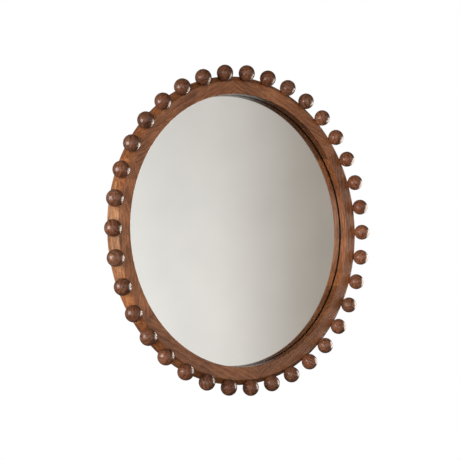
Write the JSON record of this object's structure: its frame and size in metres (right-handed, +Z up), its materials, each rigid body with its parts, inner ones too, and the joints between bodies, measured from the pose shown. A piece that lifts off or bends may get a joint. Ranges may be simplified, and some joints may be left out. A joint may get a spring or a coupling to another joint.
{
  "type": "wall mirror",
  "caption": "Round wall mirror in a flat wooden ring frame with a bevelled rim, ringed by evenly spaced turned wooden balls, with two swinging hanger rings behind.",
  "frame": {"origin": "middle of the mirror on the wall plane, which is the flat back of the frame and board", "axes": "+Z up, +Y into the wall, so the mirror faces -Y; +X to the right of someone facing it"},
  "size_m": [0.914, 0.0635, 0.914],
  "materials": {
    "frame_wood": "satin lacquer",
    "ball_wood": "satin lacquer",
    "joinery_wood": "bare",
    "gasket_foam": "matt foam",
    "clear_glass": "polished",
    "silver_coating": "mirror",
    "hardboard": "pressed board",
    "screw_steel": "zinc plated",
    "hanger_steel": "zinc plated"
  },
  "bodies": {
    "mirror": {"frame_segment_1": "frame_wood", "frame_segment_2": "frame_wood", "frame_segment_3": "frame_wood", "frame_segment_4": "frame_wood", "frame_segment_5": "frame_wood", "frame_segment_6": "frame_wood", "ball_01": "ball_wood", "ball_02": "ball_wood", "ball_03": "ball_wood", "ball_04": "ball_wood", "ball_05": "ball_wood", "ball_06": "ball_wood", "ball_07": "ball_wood", "ball_08": "ball_wood", "ball_09": "ball_wood", "ball_10": "ball_wood", "ball_11": "ball_wood", "ball_12": "ball_wood", "ball_13": "ball_wood", "ball_14": "ball_wood", "ball_15": "ball_wood", "ball_16": "ball_wood", "ball_17": "ball_wood", "ball_18": "ball_wood", "ball_19": "ball_wood", "ball_20": "ball_wood", "ball_21": "ball_wood", "ball_22": "ball_wood", "ball_23": "ball_wood", "ball_24": "ball_wood", "ball_25": "ball_wood", "ball_26": "ball_wood", "ball_27": "ball_wood", "ball_28": "ball_wood", "ball_29": "ball_wood", "ball_30": "ball_wood", "ball_31": "ball_wood", "ball_32": "ball_wood", "ball_33": "ball_wood", "ball_34": "ball_wood", "ball_35": "ball_wood", "ball_36": "ball_wood", "segment_splines": "joinery_wood", "ball_dowels": "joinery_wood", "glass_gasket": "gasket_foam", "mirror_glass": "clear_glass", "mirror_coating": "silver_coating", "backing_board": "hardboard", "backing_screws": "screw_steel", "hanger_screws": "screw_steel", "hanger_strap_left": "hanger_steel", "hanger_strap_right": "hanger_steel"},
    "hanger_ring_left": {"hanger_ring_left": "hanger_steel"},
    "hanger_ring_right": {"hanger_ring_right": "hanger_steel"}
  },
  "joints": [
    {"name": "left_ring_swing", "type": "hinge", "parent": "mirror", "child": "hanger_ring_left", "pos_m": [-0.39628, -0.00395, 0.11291], "axis": [-0.9659, 0, 0.2588], "range_deg": [-4, 170]},
    {"name": "right_ring_swing", "type": "hinge", "parent": "mirror", "child": "hanger_ring_right", "pos_m": [0.39628, -0.00395, 0.11291], "axis": [-0.9659, 0, -0.2588], "range_deg": [-4, 170]}
  ]
}
